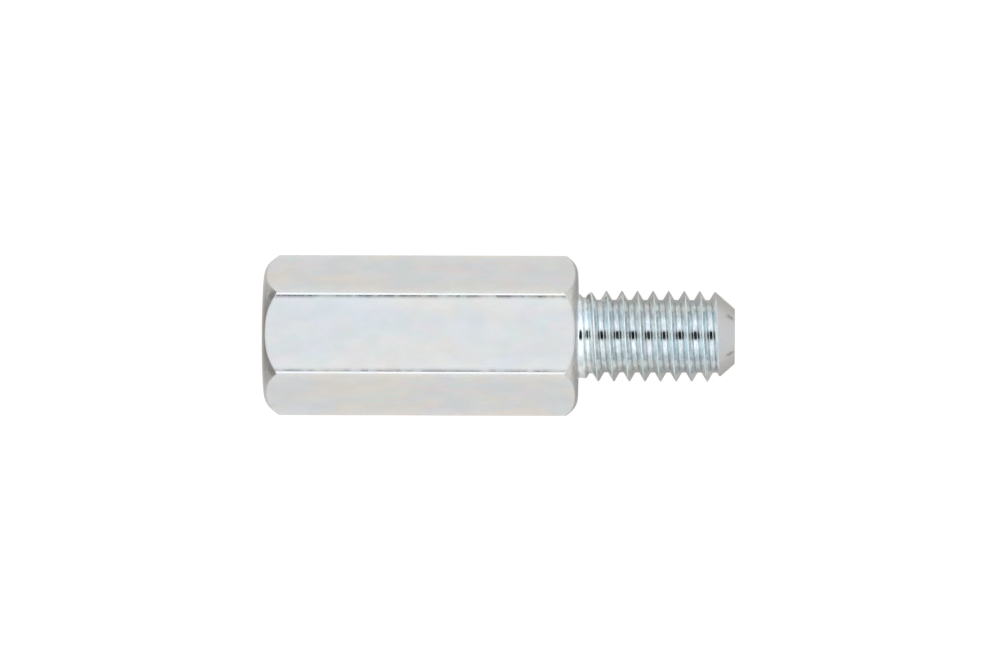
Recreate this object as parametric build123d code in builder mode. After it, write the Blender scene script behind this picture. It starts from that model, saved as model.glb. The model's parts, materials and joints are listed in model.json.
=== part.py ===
from build123d import *
import os
from math import radians, sin, sqrt, tan

# Male/female hex coupling nut, turned from one length of drawn hex bar.
# A blind threaded hole is in the left end and a threaded stud is on the right
# end, both 3/8-16 UNC right-hand, on one axis.
#
# Frame, mm: the thread axis runs along X, with the stud towards +X.  The nut
# lies on one hex flat at Z = 0, and the origin is the middle of the bounding
# box's bottom face.

# ---- driving dimensions ---------------------------------------------------
across_flats = 14.2875      # 9/16 in hex bar
bar_corner_r = 0.50         # rounding of the bar's six long corners
body_len = 32.0             # hex body, end face to shoulder
stud_len = 16.0             # shoulder to stud tip

# end chamfers of the hex: a cone that runs into the face with a soft radius
cone_angle = 52.0           # cone against the end face, degrees
cone_blend_r = 2.0          # radius between the face and the cone
female_edge_r = 7.00        # radius where the cone would meet the female face
shoulder_edge_r = 7.24      # radius where the cone would meet the shoulder

# threads, 3/8-16 UNC right-hand: the stud is drawn at its crests and the hole
# at the tap drill, which is the thread's inner wall
thread_pitch = 25.4 / 16
stud_major_r = 4.63         # crest radius of the rolled thread (2A)
stud_blank_r = 4.27         # blank before rolling, bare beside the shoulder
tap_drill_r = 25.4 * 5 / 16 / 2     # 5/16 in tap drill

# stud
neck_len = 0.65             # bare blank at the shoulder, its fillet included
neck_rise_len = thread_pitch    # the crests grow to full height over one turn
neck_fillet_r = 0.38        # root fillet, so the seat starts outside the crests
tip_chamfer_len = 2.10      # along the axis
tip_face_r = 2.80           # flat end face left by the chamfer

# blind hole
countersink_r = 4.95        # mouth
countersink_half_angle = 45.0
thread_depth = 19.0         # full thread
drill_depth = thread_depth + 2 * thread_pitch   # room for the tap's lead
drill_half_angle = 59.0     # 118 degree point

# ---- derived ----------------------------------------------------------------
overall_len = body_len + stud_len
axis_z = across_flats / 2
x_female = -overall_len / 2
x_shoulder = x_female + body_len
x_tip = x_shoulder + stud_len
sharp_corner_r = across_flats / sqrt(3)
envelope_r = sharp_corner_r + 0.6       # clear of the hex corners

axis = Axis((0, 0, axis_z), (1, 0, 0))
# half-section plane through the axis: local x along the nut, local y radial
section = Plane(origin=(0, 0, axis_z), x_dir=(1, 0, 0), z_dir=(0, -1, 0))
# cross-section plane at the female face: local x is Y, local y is Z
bar_end = Plane(origin=(x_female, 0, axis_z), x_dir=(0, 1, 0), z_dir=(1, 0, 0))

cone_slope = tan(radians(cone_angle))   # depth per unit of radius

with BuildPart() as coupling_nut_body:
    # hex bar with rounded long corners, a flat up and a flat down
    with BuildSketch(bar_end):
        RegularPolygon(radius=across_flats / 2, side_count=6, major_radius=False)
        fillet(vertices(), radius=bar_corner_r)
    extrude(amount=body_len)

    # both ends turned: flat face, soft radius, cone out through the corners
    with BuildSketch(section) as turned_envelope:
        with BuildLine():
            Polyline(
                (x_female, 0),
                (x_female, female_edge_r),
                (x_female + (envelope_r - female_edge_r) * cone_slope, envelope_r),
                (x_shoulder - (envelope_r - shoulder_edge_r) * cone_slope, envelope_r),
                (x_shoulder, shoulder_edge_r),
                (x_shoulder, 0),
                close=True,
            )
        make_face()
        face_edges = turned_envelope.vertices().filter_by(
            lambda v: abs(v.Z - axis_z - female_edge_r) < 1e-6
            or abs(v.Z - axis_z - shoulder_edge_r) < 1e-6
        )
        fillet(face_edges, radius=cone_blend_r)
    revolve(axis=axis, mode=Mode.INTERSECT)

    # stud: root fillet, bare neck, thread run-up, crest cylinder, tip chamfer
    with BuildSketch(section):
        with BuildLine():
            root = Polyline(
                (x_shoulder, stud_blank_r + neck_fillet_r),
                (x_shoulder - 1.0, stud_blank_r + neck_fillet_r),
                (x_shoulder - 1.0, 0),
                (x_tip, 0),
                (x_tip, tip_face_r),
                (x_tip - tip_chamfer_len, stud_major_r),
                (x_shoulder + neck_len + neck_rise_len, stud_major_r),
                (x_shoulder + neck_len, stud_blank_r),
                (x_shoulder + neck_fillet_r, stud_blank_r),
            )
            ThreePointArc(
                root @ 1,
                (
                    x_shoulder + neck_fillet_r * (1 - sin(radians(45))),
                    stud_blank_r + neck_fillet_r * (1 - sin(radians(45))),
                ),
                root @ 0,
            )
        make_face()
    revolve(axis=axis)

    # blind hole: countersunk mouth, tap-drill wall, 118 degree drill point
    with BuildSketch(section):
        with BuildLine():
            Polyline(
                (x_female - 0.5, 0),
                (x_female - 0.5, countersink_r),
                (x_female, countersink_r),
                (
                    x_female
                    + (countersink_r - tap_drill_r)
                    / tan(radians(countersink_half_angle)),
                    tap_drill_r,
                ),
                (x_female + drill_depth, tap_drill_r),
                (
                    x_female
                    + drill_depth
                    + tap_drill_r / tan(radians(drill_half_angle)),
                    0,
                ),
                close=True,
            )
        make_face()
    revolve(axis=axis, mode=Mode.SUBTRACT)

coupling_nut_body.part.label = "coupling_nut_body"

os.makedirs("parts", exist_ok=True)
export_step(coupling_nut_body.part, "parts/coupling_nut_body.step")

box = coupling_nut_body.part.bounding_box()
print("volume mm3", round(coupling_nut_body.part.volume, 2))
print("box", box.min, box.max)
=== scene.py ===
import json
import math

import bpy
import numpy as np
from mathutils import Matrix, Vector


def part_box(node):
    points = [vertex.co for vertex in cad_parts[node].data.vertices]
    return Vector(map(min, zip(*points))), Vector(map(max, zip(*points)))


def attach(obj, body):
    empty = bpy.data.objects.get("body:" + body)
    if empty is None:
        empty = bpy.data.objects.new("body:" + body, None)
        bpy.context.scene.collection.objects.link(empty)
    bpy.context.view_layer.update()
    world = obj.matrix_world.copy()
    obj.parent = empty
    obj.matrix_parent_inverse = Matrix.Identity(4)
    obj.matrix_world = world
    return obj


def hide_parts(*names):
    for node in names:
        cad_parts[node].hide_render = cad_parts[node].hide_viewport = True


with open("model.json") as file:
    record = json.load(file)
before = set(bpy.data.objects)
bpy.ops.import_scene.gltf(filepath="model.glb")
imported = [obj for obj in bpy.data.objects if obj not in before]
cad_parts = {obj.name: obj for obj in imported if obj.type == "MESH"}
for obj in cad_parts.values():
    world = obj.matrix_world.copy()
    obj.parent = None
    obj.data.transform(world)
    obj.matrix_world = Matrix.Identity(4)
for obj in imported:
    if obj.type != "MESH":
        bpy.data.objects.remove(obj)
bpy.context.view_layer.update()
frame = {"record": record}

# ---------------------------------------------------------------------------
# sizes: the outer ones taken from the frame, the rest given here (metres -> millimetres for the mesh code)
# ---------------------------------------------------------------------------
NODE = "coupling_nut_body"
lo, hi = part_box(NODE)
mounts = {m["name"]: m for m in frame["record"]["mounts"]}

XF = lo.x * 1000                       # female end face
XT = hi.x * 1000                       # stud tip
XS = mounts["shoulder"]["pos_m"][0] * 1000   # shoulder
AF = (hi.z - lo.z) * 1000              # across flats
AXIS_Z = (hi.z + lo.z) * 500           # height of the thread axis
APO = AF / 2                           # centre to flat
CREST_R = mounts["stud"]["dims"]["r_mm"]             # stud crests
BORE_R = mounts["female_thread"]["dims"]["r_mm"]     # hole's inner wall

# the bar's rounded corner radius follows from the box's width across corners
HALF_Y = hi.y * 1000
SHARP = APO / math.cos(math.radians(30))
CORNER_R = (SHARP - HALF_Y) / (1 / math.cos(math.radians(30)) - 1)

PITCH = 25.4 / 16
CONE = math.tan(math.radians(52.0))    # end cones, depth per radius
BLEND = 2.0                            # radius between end face and cone
EDGE_F = 7.00                          # where the cone meets the female face
EDGE_S = 7.24                          # where it meets the shoulder
BLANK_R = 4.27                         # stud blank beside the shoulder
FILLET = 0.20                          # stud's root fillet
TIP_LEN = 2.10
TIP_R = 2.80
ROOT_R = 3.70                          # stud's thread root
CSK_R = 4.95                           # countersink mouth
DRILL = 22.175                         # drilled depth
THREAD_IN = 19.0                       # threaded depth
NUT_MAJOR_R = 4.80                     # female thread's outer diameter / 2

# ---------------------------------------------------------------------------
# columns: angles round the axis, denser over the six rounded corners
# ---------------------------------------------------------------------------
N_FLAT = 20
N_CORNER = 6


def corner_centre():
    return (APO - CORNER_R) / math.cos(math.radians(30))


def make_columns():
    """angle and hex radius of every column, starting on the +Y corner line"""
    half = (APO - CORNER_R) * math.tan(math.radians(30))
    phi_e = math.atan2(half, APO)                  # end of the flat, from its middle
    dc = corner_centre()
    out = []
    for k in range(6):
        base = math.radians(60 * k)                # corner line
        # second half of the corner arc, from the corner line on
        for i in range(N_CORNER // 2):
            b = math.radians(30) * i / (N_CORNER / 2)
            y, z = dc + CORNER_R * math.cos(b), CORNER_R * math.sin(b)
            out.append((base + math.atan2(z, y), math.hypot(y, z)))
        # the flat
        for i in range(N_FLAT + 1):
            phi = -phi_e + 2 * phi_e * i / N_FLAT
            out.append((base + math.radians(30) + phi, APO / math.cos(phi)))
        # first half of the next corner arc
        for i in range(N_CORNER // 2 - 1, 0, -1):
            b = math.radians(30) * i / (N_CORNER / 2)
            y, z = dc + CORNER_R * math.cos(b), -CORNER_R * math.sin(b)
            out.append((base + math.radians(60) + math.atan2(z, y), math.hypot(y, z)))
    return np.array([c[0] for c in out]), np.array([c[1] for c in out])


TH, RH = make_columns()
NC = len(TH)


# ---------------------------------------------------------------------------
# 2-D profiles
# ---------------------------------------------------------------------------
def rounded(points, radii, seg):
    """polyline with its inner corners rounded: always the same number of points"""
    pts = [np.array(p, float) for p in points]
    out = [pts[0]]
    for i in range(1, len(pts) - 1):
        r, n = radii[i - 1], seg[i - 1]
        if n == 0:
            out.append(pts[i])
            continue
        a = pts[i - 1] - pts[i]
        b = pts[i + 1] - pts[i]
        la, lb = np.linalg.norm(a), np.linalg.norm(b)
        a, b = a / la, b / lb
        ang = math.acos(max(-1.0, min(1.0, float(a @ b))))
        t = min(r / math.tan(ang / 2), 0.45 * la, 0.45 * lb)
        rr = t * math.tan(ang / 2)
        bis = (a + b) / np.linalg.norm(a + b)
        c = pts[i] + bis * (rr / math.sin(ang / 2))
        s, e = pts[i] + a * t - c, pts[i] + b * t - c
        sweep = math.pi - ang
        for k in range(n + 1):
            f = k / n
            v = (math.sin((1 - f) * sweep) * s + math.sin(f * sweep) * e) / math.sin(sweep)
            out.append(c + v)
    out.append(pts[-1])
    return out


def smin(a, b, k):
    """smooth minimum, k = width of the blend"""
    h = np.clip(0.5 + 0.5 * (b - a) / k, 0, 1)
    return b * (1 - h) + a * h - k * h * (1 - h)


def smax(a, b, k):
    return -smin(-a, -b, k)


def smooth(e0, e1, x):
    t = np.clip((x - e0) / (e1 - e0), 0, 1)
    return t * t * (3 - 2 * t)


# ---- external thread: crest n at x = XS + CREST_X0 + P*theta/2pi + n*P -------
CREST_X0 = 2.885
TURNS_END = 8.58                       # turns of groove before it fades out
TAN30 = math.tan(math.radians(30))


def ext_radius(x, th):
    """stud surface radius at axial x (mm) and angle th (rad, any turn)"""
    x = np.asarray(x, float)
    d = x - XS
    # crest envelope: root fillet, blank, growing crests, tip cone
    fil = np.where(
        d < FILLET,
        BLANK_R + FILLET - np.sqrt(np.maximum(FILLET**2 - (FILLET - d) ** 2, 0)),
        BLANK_R,
    )
    grow = smooth(0.35, 2.3, d)
    cap = fil + (CREST_R - BLANK_R) * grow
    cone = CREST_R - (x - (XT - TIP_LEN)) * (CREST_R - TIP_R) / TIP_LEN
    r = cap
    g0 = CREST_X0 - PITCH / 2                       # a groove's middle at th = 0
    n0 = np.floor((d - g0 - PITCH * th / (2 * np.pi)) / PITCH)
    for k in (0, 1):
        n = n0 + k
        mid = g0 + n * PITCH + PITCH * th / (2 * np.pi)
        dx = d - mid
        # tau: turns wound since the groove with n = -1 crossed th = 0
        tau = n + 1 + th / (2 * np.pi)
        depth = smooth(-0.42, 0.10, tau) * 0.62 + 0.38 * smooth(0.0, 1.0, tau)
        root = BLANK_R + (ROOT_R - BLANK_R) * depth + 0.5 * (1 - smooth(-0.45, -0.2, tau))
        # flat bottom: it opens on the tip side first, where the tool runs out
        early = 1 - smooth(0.1, 0.9, tau)
        flat = np.where(dx < 0, 0.20 - 0.18 * early, 0.20 + 0.07 * early)
        v = np.maximum(np.abs(dx) - flat, 0.0) / TAN30
        g = root + np.sqrt(v * v + 0.05**2) - 0.05
        # the last groove ends on the hidden side, before the tip cone
        g = g + 1.5 * smooth(TURNS_END, TURNS_END + 0.27, tau)
        r = smin(r, g, 0.05 + 0.20 * early)
    return smin(r, cone, 0.22)


# ---- internal thread ---------------------------------------------------------
def int_radius(x, th):
    """hole surface radius: x from the face inwards is depth"""
    x = np.asarray(x, float)
    dep = x - XF
    csk = CSK_R - dep
    amp = smooth(THREAD_IN + 0.6, THREAD_IN - 0.9, dep)
    g0 = 0.55
    ph = (x - XF - g0 - PITCH * th / (2 * np.pi)) / PITCH
    dx = (ph - np.round(ph)) * PITCH
    v = np.maximum(np.abs(dx) - 0.07, 0.0) / TAN30
    top = NUT_MAJOR_R - (np.sqrt(v * v + 0.10**2) - 0.10)
    top = BORE_R + (top - BORE_R) - (1 - amp) * (NUT_MAJOR_R - BORE_R + 0.2)
    r = smax(np.full_like(top, BORE_R), top, 0.04)
    return smax(r, csk, 0.05)


# ---------------------------------------------------------------------------
# rows: every row is a ring of NC points (x, r); the helical blocks wind
# ---------------------------------------------------------------------------
verts = []          # (x, r, theta)
quads = []
tags = []           # one per face: which zone of the surface it is
ZONES = {"flat": 0, "end": 1, "thread": 2, "cone": 3, "tip": 4, "bore": 5}


def add_ring(xs, rs):
    base = len(verts)
    xs = np.broadcast_to(xs, (NC,))
    rs = np.broadcast_to(rs, (NC,))
    for j in range(NC):
        verts.append((float(xs[j]), float(rs[j]), float(TH[j])))
    return base


def join(a, b, zone):
    for j in range(NC):
        k = (j + 1) % NC
        quads.append((a + j, a + k, b + k, b + j))
        tags.append(ZONES[zone])


def add_rings(prev, rows, zone):
    """rows: list of (xs, rs)"""
    for xs, rs in rows:
        cur = add_ring(xs, rs)
        if prev is not None:
            join(prev, cur, zone)
        prev = cur
    return prev


def add_helix(prev, x0, x1, n, radius, zone):
    """rows that wind with the thread between the rings at x0 and x1.
    x0 may be above or below x1; prev is the ring at x0"""
    s = 1.0 if x1 > x0 else -1.0
    step = PITCH / n
    # number of rows that covers x0..x1 in every column, before and after
    total = int(math.ceil((abs(x1 - x0) + PITCH) / step)) + 2
    idx = []
    lead = PITCH * TH / (2 * np.pi)
    if s > 0:
        start = x0 - PITCH
        xr = [start + step * i + lead for i in range(total + 1)]
    else:
        start = x0
        xr = [start - step * i + lead for i in range(total + 1)]
    lo_, hi_ = min(x0, x1), max(x0, x1)
    for i in range(total + 1):
        x = np.clip(xr[i], lo_, hi_)
        # no slivers next to the two end rings
        x = np.where(np.abs(x - lo_) < 0.3 * step, lo_, x)
        x = np.where(np.abs(x - hi_) < 0.3 * step, hi_, x)
        r = radius(x, TH)
        base = len(verts)
        for j in range(NC):
            verts.append((float(x[j]), float(r[j]), float(TH[j])))
        idx.append(base)
    join(prev, idx[0], zone)
    for i in range(total):
        a, b = idx[i], idx[i + 1]
        for j in range(NC - 1):
            quads.append((a + j, a + j + 1, b + j + 1, b + j))
            tags.append(ZONES[zone])
    # the wrap: one turn further on the row index has moved by n
    m = n if s > 0 else -n
    last = NC - 1
    for i in range(total):
        i2, i3 = i + m, i + 1 + m
        if 0 <= i2 <= total and 0 <= i3 <= total:
            quads.append((idx[i] + last, idx[i2], idx[i3], idx[i + 1] + last))
            tags.append(ZONES[zone])
        elif s < 0:
            # before the first row of the next turn everything sits on x0
            a2 = idx[max(i2, 0)]
            a3 = idx[max(i3, 0)]
            quads.append((idx[i] + last, a2, a3, idx[i + 1] + last))
            tags.append(ZONES[zone])
        else:
            a2 = idx[min(i2, total)]
            a3 = idx[min(i3, total)]
            quads.append((idx[i] + last, a2, a3, idx[i + 1] + last))
            tags.append(ZONES[zone])
    end = add_ring(x1, radius(np.full(NC, x1), TH))
    join(idx[-1], end, zone)
    return end


# ---- the hole, from the drill point out to the mouth ---------------------------
verts.append((XF + DRILL + BORE_R / math.tan(math.radians(59)), 0.0, 0.0))
pole_in = 0
depth_tip = DRILL + BORE_R / math.tan(math.radians(59))
prof = rounded(
    [(XF + depth_tip, 0.0), (XF + DRILL, BORE_R), (XF + THREAD_IN + 1.2, BORE_R)],
    [0.15],
    [3],
)
cone_pts = [
    (XF + depth_tip + (XF + DRILL - XF - depth_tip) * f, BORE_R * f)
    for f in (0.06, 0.25, 0.5, 0.75, 0.93)
]
rows = cone_pts + [tuple(p) for p in prof[1:-1]]
first = add_ring(rows[0][0], rows[0][1])
for j in range(NC):
    k = (j + 1) % NC
    quads.append((pole_in, first + k, first + j, first + j))
    tags.append(ZONES["bore"])
ring = add_rings(first, rows[1:], "bore")
ring = add_rings(ring, [(XF + THREAD_IN + 1.9, BORE_R), (XF + THREAD_IN + 1.2, BORE_R)], "bore")
X_MOUTH = XF + 0.10
ring = add_helix(ring, XF + THREAD_IN + 1.2, X_MOUTH, 14, int_radius, "bore")

# ---- mouth edge and face ring ---------------------------------------------------
mouth = rounded(
    [(X_MOUTH, float(int_radius(np.array([X_MOUTH]), np.array([0.0]))[0])), (XF, CSK_R), (XF, CSK_R + 0.5)],
    [0.07],
    [3],
)
ring = add_rings(ring, [tuple(p) for p in mouth[1:-1]], "end")


def end_profile(edge_r):
    """where the blend arc leaves the face, and the depth below the face at radius r"""
    half = math.radians(52.0) / 2
    t = BLEND * math.tan(half)
    r_start = edge_r - t                      # the arc leaves the face here
    r_end = edge_r + t * math.cos(math.radians(52.0))

    def depth(r):
        r = np.asarray(r, float)
        arc = BLEND - np.sqrt(np.maximum(BLEND**2 - (r - r_start) ** 2, 0))
        return np.where(r <= r_start, 0.0, np.where(r < r_end, arc, (r - edge_r) * CONE))

    return r_start, depth


def hex_end_rows(face_x, edge_r, inward, r_inner, outwards):
    """rows from the face ring out to the flats (outwards) or back again"""
    r_start, depth = end_profile(edge_r)
    soft = 0.10                                # edge between cone and flat
    rows_ = []
    rows_.append((face_x, np.full(NC, r_inner + 0.35 * (r_start - r_inner))))
    rows_.append((face_x, np.full(NC, r_start - 0.12)))
    # fractions of the way from r_start to the edge of this column
    n = 14
    rim = RH - soft * 0.55                     # where the rounding starts
    for i in range(n + 1):
        f = i / n
        r = r_start + (rim - r_start) * f
        rows_.append((face_x + inward * depth(r), r))
    # rounding into the flat
    d_rim = depth(rim)
    slope = (depth(rim) - depth(rim - 0.01)) / 0.01
    d_edge = depth(RH)
    # quadratic Bezier from the cone through the edge to the flat
    p0 = (d_rim, rim)
    p2 = (d_edge + soft, RH)
    # control point: where the cone's tangent reaches the flat
    c_d = d_rim + slope * (RH - rim)
    for f in (0.2, 0.4, 0.6, 0.8, 1.0):
        dd = (1 - f) ** 2 * p0[0] + 2 * f * (1 - f) * c_d + f**2 * p2[0]
        rr = (1 - f) ** 2 * p0[1] + 2 * f * (1 - f) * RH + f**2 * p2[1]
        rows_.append((face_x + inward * dd, rr))
    if not outwards:
        rows_ = rows_[::-1]
    return rows_


rows_f = hex_end_rows(XF, EDGE_F, 1.0, CSK_R + 0.07, True)
ring = add_rings(ring, rows_f, "end")
rows_s = hex_end_rows(XS, EDGE_S, -1.0, BLANK_R + FILLET, False)
xa, xb = rows_f[-1][0], rows_s[0][0]
flat_rows = [(xa + (xb - xa) * f, RH) for f in (0.02, 0.25, 0.5, 0.75, 0.98)]
flat_rows.append(rows_s[0])
ring = add_rings(ring, flat_rows, "flat")
ring = add_rings(ring, rows_s[1:], "end")

# ---- stud ----------------------------------------------------------------------
X0 = XS + 0.004
ring = add_rings(ring, [(XS, np.full(NC, BLANK_R + FILLET))], "end")
ring = add_rings(ring, [(X0, ext_radius(np.full(NC, X0), TH))], "thread")
for d in (0.012, 0.03, 0.06):
    ring = add_rings(ring, [(XS + d, ext_radius(np.full(NC, XS + d), TH))], "thread")
X1 = XT - 0.55
ring = add_helix(ring, XS + 0.06, X1, 28, ext_radius, "thread")
tip = rounded(
    [(X1, float(ext_radius(np.array([X1]), np.array([0.0]))[0])), (XT, TIP_R), (XT, TIP_R - 1.0)],
    [0.08],
    [4],
)
ring = add_rings(ring, [tuple(p) for p in tip[1:-1]], "cone")
ring = add_rings(ring, [(XT, TIP_R * f) for f in (0.9, 0.6, 0.3, 0.08)], "tip")
pole_out = len(verts)
verts.append((XT, 0.0, 0.0))
for j in range(NC):
    k = (j + 1) % NC
    quads.append((ring + j, ring + k, pole_out, pole_out))
    tags.append(ZONES["tip"])


# ---------------------------------------------------------------------------
# weld, drop collapsed faces, build the mesh
# ---------------------------------------------------------------------------
V = np.array(verts, float)
XYZ = np.stack(
    [V[:, 0], V[:, 1] * np.cos(V[:, 2]), AXIS_Z + V[:, 1] * np.sin(V[:, 2])], axis=1
)
key = np.round(XYZ * 20000).astype(np.int64)          # 0.05 micrometre
_, first_of, inverse = np.unique(key, axis=0, return_index=True, return_inverse=True)
inverse = inverse.reshape(-1)
XYZ = XYZ[first_of]
faces, zone_of = [], []
for q, t in zip(quads, tags):
    ids = []
    for i in q:
        g = int(inverse[i])
        if not ids or ids[-1] != g:
            ids.append(g)
    if len(ids) > 1 and ids[0] == ids[-1]:
        ids.pop()
    if len(set(ids)) == len(ids) and len(ids) >= 3:
        faces.append(ids)
        zone_of.append(t)
used = sorted({i for f in faces for i in f})
remap = {g: i for i, g in enumerate(used)}
XYZ = XYZ[used]
faces = [[remap[i] for i in f] for f in faces]

mesh = bpy.data.meshes.new("coupling_nut")
mesh.from_pydata([tuple(p / 1000) for p in XYZ], [], faces)
mesh.update()
zone_attr = mesh.attributes.new("zone", "INT", "FACE")
zone_attr.data.foreach_set("value", np.array(zone_of, np.int32))

# outward faces and area-weighted normals
import bmesh

bm = bmesh.new()
bm.from_mesh(mesh)
bmesh.ops.recalc_face_normals(bm, faces=bm.faces)
vol = bm.calc_volume(signed=True)
if vol < 0:
    bmesh.ops.reverse_faces(bm, faces=bm.faces)
bad = [e for e in bm.edges if not e.is_manifold]
print("MESH verts", len(bm.verts), "faces", len(bm.faces),
      "tris", sum(len(f.verts) - 2 for f in bm.faces),
      "open or bad edges", len(bad), "volume mm3", abs(vol) * 1e9)
bm.to_mesh(mesh)
bm.free()

nv = len(mesh.vertices)
co = np.zeros(nv * 3)
mesh.vertices.foreach_get("co", co)
co = co.reshape(-1, 3)
normals = np.zeros((nv, 3))
for p in mesh.polygons:
    ids = list(p.vertices)
    n = np.array(p.normal) * p.area
    for i in ids:
        normals[i] += n
normals /= np.maximum(np.linalg.norm(normals, axis=1, keepdims=True), 1e-20)
mesh.polygons.foreach_set("use_smooth", [True] * len(mesh.polygons))
mesh.normals_split_custom_set_from_vertices([tuple(n) for n in normals])

nut = bpy.data.objects.new("coupling_nut", mesh)
bpy.context.scene.collection.objects.link(nut)

# ---------------------------------------------------------------------------
# zinc plate: one recipe, four finishes
# ---------------------------------------------------------------------------
class Nodes:
    """short hand for building a node tree"""

    def __init__(self, tree):
        self.t = tree

    def new(self, kind, **props):
        n = self.t.nodes.new(kind)
        for k, v in props.items():
            setattr(n, k, v)
        return n

    def link(self, a, b):
        self.t.links.new(a, b)

    def put(self, socket, value):
        if isinstance(value, bpy.types.NodeSocket):
            self.t.links.new(value, socket)
        else:
            socket.default_value = value

    def math(self, op, a, b=None, c=None, clamp=False):
        n = self.new("ShaderNodeMath", operation=op, use_clamp=clamp)
        self.put(n.inputs[0], a)
        if b is not None:
            self.put(n.inputs[1], b)
        if c is not None:
            self.put(n.inputs[2], c)
        return n.outputs[0]

    def remap(self, v, f0, f1, t0, t1):
        n = self.new("ShaderNodeMapRange", clamp=True)
        n.interpolation_type = "SMOOTHSTEP"
        self.put(n.inputs["Value"], v)
        for name, x in (("From Min", f0), ("From Max", f1), ("To Min", t0), ("To Max", t1)):
            n.inputs[name].default_value = x
        return n.outputs[0]

    def scaled(self, vec, sx, sy, sz, off=(0, 0, 0)):
        n = self.new("ShaderNodeMapping")
        self.put(n.inputs["Vector"], vec)
        n.inputs["Scale"].default_value = (sx, sy, sz)
        n.inputs["Location"].default_value = off
        return n.outputs[0]

    def noise(self, vec, scale, detail=3.0, rough=0.55, dist=0.0):
        n = self.new("ShaderNodeTexNoise")
        self.put(n.inputs["Vector"], vec)
        n.inputs["Scale"].default_value = scale
        n.inputs["Detail"].default_value = detail
        n.inputs["Roughness"].default_value = rough
        n.inputs["Distortion"].default_value = dist
        return n.outputs[0]

    def mix(self, fac, a, b):
        n = self.new("ShaderNodeMix", data_type="RGBA")
        self.put(n.inputs[0], fac)
        self.put(n.inputs[6], a)
        self.put(n.inputs[7], b)
        return n.outputs[2]

    def scale_colour(self, col, f):
        n = self.new("ShaderNodeVectorMath", operation="SCALE")
        self.put(n.inputs[0], col)
        self.put(n.inputs["Scale"], f)
        return n.outputs[0]


def cylinder_coords(N, obj):
    """x, y and height over the axis in mm, angle round it in radians, radius in mm"""
    sep = N.new("ShaderNodeSeparateXYZ")
    N.link(obj, sep.inputs[0])
    x = N.math("MULTIPLY", sep.outputs[0], 1000.0)
    y = N.math("MULTIPLY", sep.outputs[1], 1000.0)
    z = N.math("SUBTRACT", N.math("MULTIPLY", sep.outputs[2], 1000.0), AXIS_Z)
    ang = N.math("ARCTAN2", z, y)
    rad = N.math("SQRT", N.math("ADD", N.math("MULTIPLY", y, y), N.math("MULTIPLY", z, z)))
    return x, y, z, ang, rad


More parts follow.
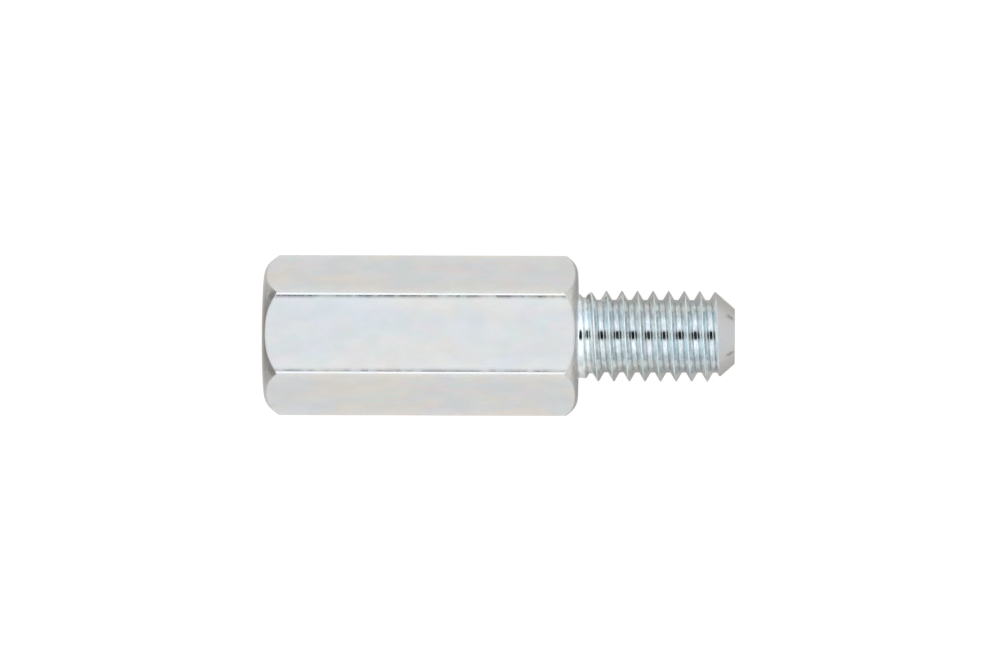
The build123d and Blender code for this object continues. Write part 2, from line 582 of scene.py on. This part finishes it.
def zinc(name, base, rough, tint=1.0, streaks="bar", bump=0.006, edges=True, grain=1.0, blotch=0.012, lines=0.7, iso=0.5, streak=0.016, painted_reflections=(),
         painted_root_shade=False):
    m = bpy.data.materials.new(name)
    m.use_nodes = True
    N = Nodes(m.node_tree)
    m.node_tree.nodes.clear()
    out_ = N.new("ShaderNodeOutputMaterial")
    bs = N.new("ShaderNodeBsdfPrincipled")
    N.link(bs.outputs["BSDF"], out_.inputs["Surface"])
    bs.inputs["Metallic"].default_value = 1.0

    tc_ = N.new("ShaderNodeTexCoord")
    obj = tc_.outputs["Object"]
    mm = N.scaled(obj, 1000, 1000, 1000)
    x, y, z, ang, rad = cylinder_coords(N, obj)

    # passivation: slow drifts of hue, drawn out along the bar
    slow = N.scaled(mm, 0.6, 1.0, 1.0)
    f_a = N.remap(N.noise(slow, 0.22, 3.0, 0.6, 0.4), 0.36, 0.64, 0.0, 1.0)
    f_b = N.remap(N.noise(N.scaled(mm, 0.5, 1.0, 1.0, (31, 7, 5)), 0.34, 3.0, 0.6, 0.3), 0.38, 0.62, 0.0, 1.0)
    f_c = N.remap(N.noise(N.scaled(mm, 0.6, 1.0, 1.0, (3, 17, 29)), 0.6, 4.0, 0.6), 0.40, 0.66, 0.0, 1.0)

    def shade(r, g, b, k):
        k *= tint
        return (base[0] * (1 + r * k), base[1] * (1 + g * k), base[2] * (1 + b * k), 1)

    cool = shade(-0.040, -0.005, 0.035, 1)
    warm = shade(0.025, 0.008, -0.035, 1)
    pink = shade(0.035, -0.022, 0.022, 1)
    teal = shade(-0.060, 0.020, 0.012, 1)
    c1 = N.mix(f_a, cool, warm)
    c2 = N.mix(f_c, teal, pink)
    col = N.mix(N.math("MULTIPLY", f_b, 0.55), c1, c2)

    # fine brightness grain and drawn or turned lines
    g1 = N.noise(mm, 6.0, 4.0, 0.65)
    if streaks == "bar":
        s1 = N.noise(N.scaled(mm, 0.10, 1.0, 1.0), 5.0, 4.0, 0.6)
        s2 = N.noise(N.scaled(mm, 0.35, 1.0, 1.0), 1.6, 3.0, 0.6)
    else:
        comb = N.new("ShaderNodeCombineXYZ")
        # lines that run round the axis: almost constant in the angle
        if streaks == "face":
            N.put(comb.inputs[0], N.math("MULTIPLY", rad, 1.0))
            N.put(comb.inputs[2], N.math("MULTIPLY", x, 1.0))
        else:
            lead = N.math("MULTIPLY", ang, PITCH / (2 * math.pi))
            N.put(comb.inputs[0], N.math("SUBTRACT", x, lead))
            N.put(comb.inputs[2], N.math("MULTIPLY", rad, 1.0))
        N.put(comb.inputs[1], N.math("MULTIPLY", ang, 0.5))
        s1 = N.noise(comb.outputs[0], 9.0, 4.0, 0.65)
        s2 = N.noise(N.scaled(comb.outputs[0], 1, 3.0, 1, (5, 1, 9)), 3.2, 3.0, 0.6)
    lum = N.math("ADD", N.remap(g1, 0.3, 0.7, -0.020 * grain, 0.020 * grain), N.remap(s1, 0.3, 0.7, -streak, streak))
    lum = N.math("ADD", lum, N.remap(s2, 0.3, 0.7, -streak, streak))
    # soft cloudy patches in the brightness
    cloud = N.noise(N.scaled(mm, 0.7, 1.0, 1.0, (11, 3, 8)), 0.6, 4.0, 0.6)
    lum = N.math("ADD", lum, N.remap(cloud, 0.32, 0.68, -blotch, blotch))
    if edges:
        # painted highlight: the colour is lifted 3.5 % near the long corners of the hex
        at_edge_highlight = N.new("ShaderNodeAttribute", attribute_name="rim")
        lum = N.math("MULTIPLY_ADD", at_edge_highlight.outputs["Fac"], 0.035, lum)
    if painted_root_shade:
        # painted shade: the bottoms of the grooves are painted darker than the flanks and crests
        lum = N.math("ADD", lum, N.remap(rad, ROOT_R + 0.02, ROOT_R + 0.22, -0.19, 0.05))
    lum = N.math("ADD", lum, 1.0)
    col = N.scale_colour(col, lum)

    r_here = N.math("ADD", rough, N.remap(g1, 0.3, 0.7, -0.05 * grain, 0.05 * grain))
    r_here = N.math("ADD", r_here, N.remap(s2, 0.3, 0.7, -0.03 * grain, 0.03 * grain))
    if edges:
        # the long corners were burnished when the bar was drawn
        at = N.new("ShaderNodeAttribute", attribute_name="burnish")
        # unevenly along the bar, and more on the +Y side
        along = N.noise(N.scaled(mm, 0.9, 0.12, 0.12, (2, 9, 4)), 0.8, 3.0, 0.65)
        worn = N.math("MULTIPLY", N.remap(along, 0.36, 0.62, 0.62, 1.0), N.remap(y, -3.0, 3.0, 0.78, 1.0))
        r_here = N.math("MULTIPLY_ADD", N.math("MULTIPLY", at.outputs["Fac"], worn), BURNISH, r_here)
    # painted reflections: small dark dashes, each uneven and along the axis, mirrored about it near the tip; they are
    # also a little rougher
    for px, py, pz, slope in painted_reflections:
        cb = N.new("ShaderNodeCombineXYZ")
        ex = N.math("SUBTRACT", x, px)
        ey = N.math("SUBTRACT", N.math("SUBTRACT", y, py), N.math("MULTIPLY", ex, slope))
        N.put(cb.inputs[0], N.math("MULTIPLY", ex, 1 / 0.42))
        N.put(cb.inputs[1], N.math("MULTIPLY", ey, 1 / 0.24))
        N.put(cb.inputs[2], N.math("MULTIPLY", N.math("SUBTRACT", z, pz), 1 / 0.6))
        ln = N.new("ShaderNodeVectorMath", operation="LENGTH")
        N.link(cb.outputs[0], ln.inputs[0])
        near = N.math("ADD", ln.outputs["Value"], N.remap(N.noise(mm, 7.0, 3.0, 0.6), 0.3, 0.7, -0.6, 0.6))
        mask = N.remap(near, 0.35, 1.2, 1.0, 0.0)
        col = N.mix(N.math("MULTIPLY", mask, 0.55), col, (0.16, 0.15, 0.19, 1))
        r_here = N.math("MULTIPLY_ADD", mask, 0.12, r_here)
    N.put(bs.inputs["Roughness"], N.math("MAXIMUM", r_here, 0.06))
    N.link(col, bs.inputs["Base Color"])

    h = N.math("MULTIPLY", g1, iso)
    h = N.math("ADD", h, N.math("MULTIPLY", s1, lines))
    bp = N.new("ShaderNodeBump")
    bp.inputs["Strength"].default_value = 1.0
    bp.inputs["Distance"].default_value = bump / 1000
    N.put(bp.inputs["Height"], h)
    N.link(bp.outputs[0], bs.inputs["Normal"])
    return m


BURNISH = -0.36            # change of roughness on the long corners
# painted reflections: two dark dashes on the tip cone, one each side of the axis
PAINTED_REFLECTIONS = [(XS + 15.53, 1.85, 2.62, -0.35), (XS + 15.53, -1.80, 2.66, 0.45)]   # x, y, height over the axis, slope
mats = [
    zinc("zinc_flats", (0.730, 0.734, 0.738), 0.55, tint=1.25, streaks="bar", bump=0.005, grain=0.35, blotch=0.022,
         streak=0.005),
    zinc("zinc_turned", (0.628, 0.633, 0.638), 0.36, tint=0.6, streaks="face", bump=0.006, painted_reflections=PAINTED_REFLECTIONS),
    zinc("zinc_thread", (0.715, 0.768, 0.790), 0.085, tint=0.7, streaks="thread", bump=0.0055, edges=False,
         grain=1.5, blotch=0.03, lines=1.0, iso=0.15, streak=0.10, painted_root_shade=True),
    zinc("zinc_bore", (0.640, 0.665, 0.675), 0.26, tint=0.6, streaks="thread", bump=0.010, edges=False),
]
for m in mats:
    mesh.materials.append(m)
zone_now = np.zeros(len(mesh.polygons), np.int32)
mesh.attributes["zone"].data.foreach_get("value", zone_now)
slot_of = {ZONES["flat"]: 0, ZONES["end"]: 1, ZONES["thread"]: 2, ZONES["cone"]: 2, ZONES["tip"]: 1, ZONES["bore"]: 3}
index_of = np.array([slot_of[int(z)] for z in zone_now], np.int32)
centres = np.zeros(len(mesh.polygons) * 3)
mesh.polygons.foreach_get("center", centres)
centres = centres.reshape(-1, 3) * 1000
c_rad = np.hypot(centres[:, 1], centres[:, 2] - AXIS_Z)
on_cone = CREST_R - (centres[:, 0] - (XT - TIP_LEN)) * (CREST_R - TIP_R) / TIP_LEN
index_of[(centres[:, 0] > XT - TIP_LEN + 0.02) & (c_rad > on_cone - 0.05) & (index_of == 2)] = 1
mesh.polygons.foreach_set("material_index", index_of)

# how burnished each point of the hex is: 1 on a long corner, 0 on a flat
pts = np.zeros(len(mesh.vertices) * 3)
mesh.vertices.foreach_get("co", pts)
pts = pts.reshape(-1, 3) * 1000
ang_v = np.arctan2(pts[:, 2] - AXIS_Z, pts[:, 1])
rad_v = np.hypot(pts[:, 1], pts[:, 2] - AXIS_Z)
off = np.abs((ang_v + np.pi / 6) % (np.pi / 3) - np.pi / 6)      # angle from the nearest corner line
dist_edge = rad_v * np.sin(off)
burn = 1 - smooth(0.22, 0.40, dist_edge)
burn = burn * (rad_v > APO * 0.99) * 1.0
# painted highlight: rim is 1 near a long corner and 0 from 1.9 mm off it, and lightens the colour there
rim = (1 - smooth(0.3, 1.9, dist_edge)) * (rad_v > APO * 0.99)
edge_highlight_attr = mesh.attributes.new("rim", "FLOAT", "POINT")
edge_highlight_attr.data.foreach_set("value", rim.astype(np.float32))
battr = mesh.attributes.new("burnish", "FLOAT", "POINT")
battr.data.foreach_set("value", burn.astype(np.float32))

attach(nut, "root")
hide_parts(NODE)

# ---------------------------------------------------------------------------
# floor, light, camera
# ---------------------------------------------------------------------------
FLOOR_RGB = (0.895, 0.845, 0.79)
# painted shade: past the female end the floor's colour is darkened, seen only in reflections
FLOOR_LEFT_SHADE = 0.36          # reflections find the floor this much darker past the female end
FLOOR_BLOWN = 0.92         # share of the floor that the exposure burns out
SKY_RGB = (0.99, 1.0, 1.015)
SKY_POWER = 1.075
HOLE_DIR = (0.0, math.tan(math.radians(1.2)), 1.0)    # the opening the camera looks through
HOLE = [(0, 0.010), (11.5, 0.012), (14.0, 0.75), (22, 1.35), (40, 1.30), (62, 1.0), (180, 1.0)]
SKY = [(0, 1.0), (58, 1.0), (76, 0.86), (90, 0.80), (180, 0.80)]
LEFT_DIR = (-1.0, 0.0, 0.04)
LEFT = [(0, 0.30), (36, 0.34), (52, 1.0), (180, 1.0)]
bpy.ops.mesh.primitive_circle_add(vertices=96, radius=6.0, fill_type="NGON", location=(0, 0, 0))
floor = bpy.context.object
floor.name = "floor"
fm = bpy.data.materials.new("floor_white")
fm.use_nodes = True
F = Nodes(fm.node_tree)
fm.node_tree.nodes.clear()
f_out = F.new("ShaderNodeOutputMaterial")
f_tc = F.new("ShaderNodeTexCoord")
f_sep = F.new("ShaderNodeSeparateXYZ")
F.link(f_tc.outputs["Object"], f_sep.inputs[0])
# painted shade: the floor's colour falls off past the female end, out of the picture
painted_floor_shade = F.remap(f_sep.outputs[0], -0.085, -0.045, FLOOR_LEFT_SHADE, 1.0)
# painted shade: darker still in a narrow strip in line with the nut
painted_shade_strip = F.math("MULTIPLY", F.remap(f_sep.outputs[0], -0.046, -0.026, 1.0, 0.0),
               F.remap(F.math("ABSOLUTE", f_sep.outputs[1]), 0.010, 0.026, 1.0, 0.0))
painted_floor_shade = F.math("MULTIPLY", painted_floor_shade, F.math("MULTIPLY_ADD", painted_shade_strip, -0.55, 1.0))
# painted shadow: the floor is darkened under and beside the stud, so the stud's flanks reflect a darker floor
painted_shadow_x = F.remap(f_sep.outputs[0], 0.006, 0.012, 0.0, 1.0)
painted_shadow_y = F.remap(F.math("ABSOLUTE", f_sep.outputs[1]), 0.012, 0.030, 1.0, 0.0)
painted_floor_shade = F.math("MULTIPLY", painted_floor_shade, F.math("MULTIPLY_ADD", F.math("MULTIPLY", painted_shadow_x, painted_shadow_y), -0.34, 1.0))
f_dif = F.new("ShaderNodeBsdfDiffuse")
F.link(F.scale_colour(FLOOR_RGB, painted_floor_shade), f_dif.inputs["Color"])
f_em = F.new("ShaderNodeEmission")
f_em.inputs["Color"].default_value = (1, 1, 1, 1)
f_em.inputs["Strength"].default_value = 1.06
f_mix = F.new("ShaderNodeMixShader")
f_lp = F.new("ShaderNodeLightPath")
F.put(f_mix.inputs[0], F.math("MULTIPLY", f_lp.outputs["Is Camera Ray"], FLOOR_BLOWN))
F.link(f_dif.outputs[0], f_mix.inputs[1])
F.link(f_em.outputs[0], f_mix.inputs[2])
F.link(f_mix.outputs[0], f_out.inputs["Surface"])
floor.data.materials.append(fm)

world = bpy.data.worlds.new("tent")
bpy.context.scene.world = world
world.use_nodes = True
wn = world.node_tree
wn.nodes.clear()
W = Nodes(wn)
wo = W.new("ShaderNodeOutputWorld")
w_tc = W.new("ShaderNodeTexCoord")


def degrees_from(direction):
    """angle in degrees between the ray and a fixed direction"""
    d = Vector(direction).normalized()
    n = W.new("ShaderNodeVectorMath", operation="DOT_PRODUCT")
    W.link(w_tc.outputs["Generated"], n.inputs[0])
    n.inputs[1].default_value = d
    a_ = W.math("ARCCOSINE", n.outputs["Value"])
    return W.math("MULTIPLY", a_, 180 / math.pi)


def ramp_of(value, stops):
    """piecewise-linear brightness over an angle of 0..180 degrees"""
    n = W.new("ShaderNodeValToRGB")
    W.put(n.inputs[0], W.math("DIVIDE", value, 180.0))
    els = n.color_ramp.elements
    els[0].position, els[1].position = stops[0][0] / 180, stops[-1][0] / 180
    els[0].color = (stops[0][1],) * 3 + (1,)
    els[1].color = (stops[-1][1],) * 3 + (1,)
    for a_, v in stops[1:-1]:
        e_ = els.new(a_ / 180)
        e_.color = (v, v, v, 1)
    return n.outputs[0]


def times(a_, b_):
    n = W.new("ShaderNodeVectorMath", operation="MULTIPLY")
    W.put(n.inputs[0], a_)
    W.put(n.inputs[1], b_)
    return n.outputs[0]


tent = times(ramp_of(degrees_from(HOLE_DIR), HOLE), ramp_of(degrees_from((0, 0, 1)), SKY))
tent = times(tent, ramp_of(degrees_from(LEFT_DIR), LEFT))
tinted = times(tent, SKY_RGB)
w_bg = W.new("ShaderNodeBackground")
W.link(tinted, w_bg.inputs["Color"])
w_bg.inputs["Strength"].default_value = SKY_POWER
w_white = W.new("ShaderNodeBackground")
w_white.inputs["Color"].default_value = (1, 1, 1, 1)
w_white.inputs["Strength"].default_value = 1.02
w_lp = W.new("ShaderNodeLightPath")
w_mix = W.new("ShaderNodeMixShader")
W.link(w_lp.outputs["Is Camera Ray"], w_mix.inputs[0])
W.link(w_bg.outputs[0], w_mix.inputs[1])
W.link(w_white.outputs[0], w_mix.inputs[2])
W.link(w_mix.outputs[0], wo.inputs["Surface"])

cam_data = bpy.data.cameras.new("camera")
cam = bpy.data.objects.new("camera", cam_data)
bpy.context.scene.collection.objects.link(cam)
MM_PX = AF / 140.0                        # millimetres per pixel at the axis
LENS = 360.0
cam_data.sensor_width = 36.0
cam_data.lens = LENS
dist = (LENS / 36.0 * 1000) * MM_PX / 1000   # metres from the axis to the camera
TILT_X, TILT_Y = math.radians(1.4), math.radians(-1.7)
# the point of the axis plane that shows at the picture's centre
target = Vector((0.045, 0.225, AXIS_Z)) / 1000
look = Vector((math.tan(TILT_X), math.tan(TILT_Y), 1.0)).normalized()
ROLL = math.radians(0.19)
cam.location = target + look * dist
zc = look
xc = Vector((math.cos(ROLL), math.sin(ROLL), 0))
xc = (xc - zc * xc.dot(zc)).normalized()
yc = zc.cross(xc)
cam.matrix_world = Matrix(
    [
        [xc.x, yc.x, zc.x, cam.location.x],
        [xc.y, yc.y, zc.y, cam.location.y],
        [xc.z, yc.z, zc.z, cam.location.z],
        [0, 0, 0, 1],
    ]
)
cam_data.clip_start = 0.01
cam_data.clip_end = 100
bpy.context.scene.camera = cam

scene = bpy.context.scene
scene.view_settings.view_transform = "Standard"
scene.view_settings.look = "None"
scene.view_settings.exposure = 0
scene.view_settings.gamma = 1
